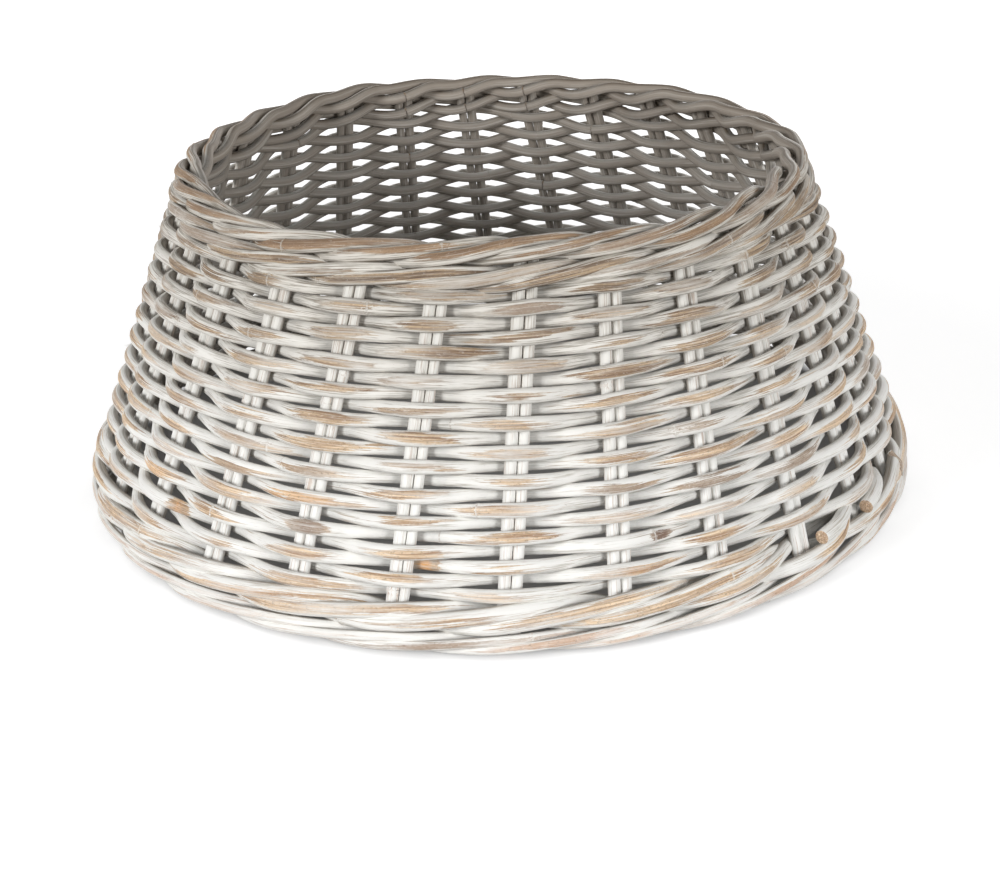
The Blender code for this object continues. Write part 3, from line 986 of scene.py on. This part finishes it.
materials = {
    "weaver_paint": painted_cane("weaver_paint"),
    "wale_paint": painted_cane("wale_paint", wear_more=0.04, thin_more=0.03, crease_shade_more=0.24),
    "foot_paint": painted_cane(
        "foot_paint", WHITES, FOOT_THINS, FOOT_TANS, FOOT_BROWNS,
        wear_more=-0.12, thin_more=0.06, film_more=0.12, crease_shade_more=0.22),
    "rim_paint": painted_cane(
        "rim_paint", RIM_WHITES, RIM_THINS, RIM_TANS, RIM_BROWNS, RIM_INNER_SHADE_AND_THIN_PAINT,
        wear_more=0.08, thin_more=0.08, film_more=-0.12, crease_shade_more=0.22),
    "stake_paint": painted_cane(
        "stake_paint", STAKE_WHITES, STAKE_THINS, STAKE_TANS, STAKE_BROWNS,
        wear_more=-0.10, thin_more=-0.05, relief=SOFT_RELIEF),
}


def show(cane, node, slot):
    """Makes the piece that stands for a CAD node."""
    item = cane.make(node + "_cane", materials[slot])
    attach(item, "root")
    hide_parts(node)


for row in range(ROWS):
    show(weaver(row), "weaver_row_%02d" % (row + 1), "weaver_paint")
for number in range(STAKES):
    show(stake_pair(number), "stake_pair_%02d" % (number + 1), "stake_paint")
for strand in range(STRANDS):
    for band in BANDS:
        show(wale(band, strand), "%s_strand_%d" % (band.name, strand + 1), band.slot)


# ---------------------------------------------------------------- stage, light, camera

# The floor: half its width, its level, its tone, and from which reach to which it glows
# white for the camera, faintly beside the collar and fully further out
FLOOR_HALF = 12.0
FLOOR_LEVEL = -0.0004
FLOOR_TONE = 0.55
FLOOR_GLOW_STARTS = (0.280, 0.295)
FLOOR_GLOW_GROWS = (0.45, 1.60)
FLOOR_LEAST_GLOW = 0.68

# Softboxes: name, place, size and watts. All aim at the collar's middle.
AMBIENT_STRENGTH = 0.27
LAMPS = (
    ("key", Vector((-2.1, -1.8, 1.05)), (0.9, 0.9), 51.0),
    ("fill", Vector((1.75, -2.1, 0.80)), (0.9, 0.9), 38.5),
    ("back", Vector((0.5, 2.7, 0.95)), (1.5, 1.2), 30.0),
)
LAMP_AIM = Vector((0.0, 0.0, 0.06))

# The camera, fitted to the stakes, rows and outline in the photograph
IMAGE_WIDTH = 1000.0
SENSOR_WIDTH = 36.0
FOCAL_PIXELS = 1735.3
CAMERA_ELEVATION = math.radians(25.31)
CAMERA_ROLL = -0.0313
CAMERA_DISTANCE = 1.2969
CAMERA_AIM = Vector((0.0004, 0.0, 0.0013))
FARTHEST_SEEN = 100.0


def plain_floor():
    data = bpy.data.meshes.new("floor")
    corners = [(x * FLOOR_HALF, y * FLOOR_HALF, FLOOR_LEVEL)
               for x, y in ((-1, -1), (1, -1), (1, 1), (-1, 1))]
    data.from_pydata(corners, [], [(0, 1, 2, 3)])
    material = bpy.data.materials.new("floor_paper")
    material.use_nodes = True
    n = Nodes(material.node_tree)
    n.tree.nodes.clear()
    reach = n.new("VectorMath", operation="LENGTH")
    n.put(reach.inputs[0], n.new("TexCoord").outputs["Object"])
    distance = reach.outputs["Value"]
    outside = n.product(n.span(distance, *FLOOR_GLOW_STARTS), n.seen_white())
    paper, glow, both = n.new("BsdfDiffuse"), n.new("Emission"), n.new("AddShader")
    n.put(paper.inputs["Color"], (FLOOR_TONE, FLOOR_TONE, FLOOR_TONE))
    n.put(glow.inputs["Strength"], n.product(
        outside, n.span(distance, *FLOOR_GLOW_GROWS, FLOOR_LEAST_GLOW, 1.0)))
    n.put(both.inputs[0], paper.outputs[0])
    n.put(both.inputs[1], glow.outputs[0])
    n.put(n.new("OutputMaterial").inputs["Surface"], both.outputs[0])
    data.materials.append(material)
    item = link_object("floor", data)


def studio_world():
    """Soft light from all round, seen as plain white."""
    world = bpy.data.worlds.new("studio")
    bpy.context.scene.world = world
    world.use_nodes = True
    n = Nodes(world.node_tree)
    n.tree.nodes.clear()
    choose = n.new("MixShader")
    n.put(choose.inputs[0], n.seen_white())
    for socket, strength in zip(choose.inputs[1:], (AMBIENT_STRENGTH, 1.0)):
        light = n.new("Background")
        n.put(light.inputs["Color"], (1.0, 1.0, 1.0))
        n.put(light.inputs["Strength"], strength)
        n.put(socket, light.outputs[0])
    n.put(n.new("OutputWorld").inputs["Surface"], choose.outputs[0])


def softbox(name, place, size, power):
    data = bpy.data.lights.new(name, "AREA")
    data.shape = "RECTANGLE"
    data.size, data.size_y = size
    data.energy = power
    item = link_object(name, data)
    item.location = place
    item.rotation_euler = (LAMP_AIM - place).to_track_quat("-Z", "Y").to_euler()


def add_camera():
    data = bpy.data.cameras.new("camera")
    data.sensor_width = SENSOR_WIDTH
    data.lens = FOCAL_PIXELS / IMAGE_WIDTH * SENSOR_WIDTH
    data.clip_end = FARTHEST_SEEN
    back = Vector((0.0, -math.cos(CAMERA_ELEVATION), math.sin(CAMERA_ELEVATION)))
    level_right = Vector((1.0, 0.0, 0.0))
    level_up = back.cross(level_right)
    right = level_right * math.cos(CAMERA_ROLL) + level_up * math.sin(CAMERA_ROLL)
    turn = Matrix((right, back.cross(right), back)).transposed().to_4x4()
    item = link_object("camera", data)
    item.matrix_world = Matrix.Translation(CAMERA_AIM + back * CAMERA_DISTANCE) @ turn
    bpy.context.scene.camera = item


plain_floor()
studio_world()
for lamp in LAMPS:
    softbox(*lamp)
add_camera()
bpy.context.scene.view_settings.view_transform = "Standard"
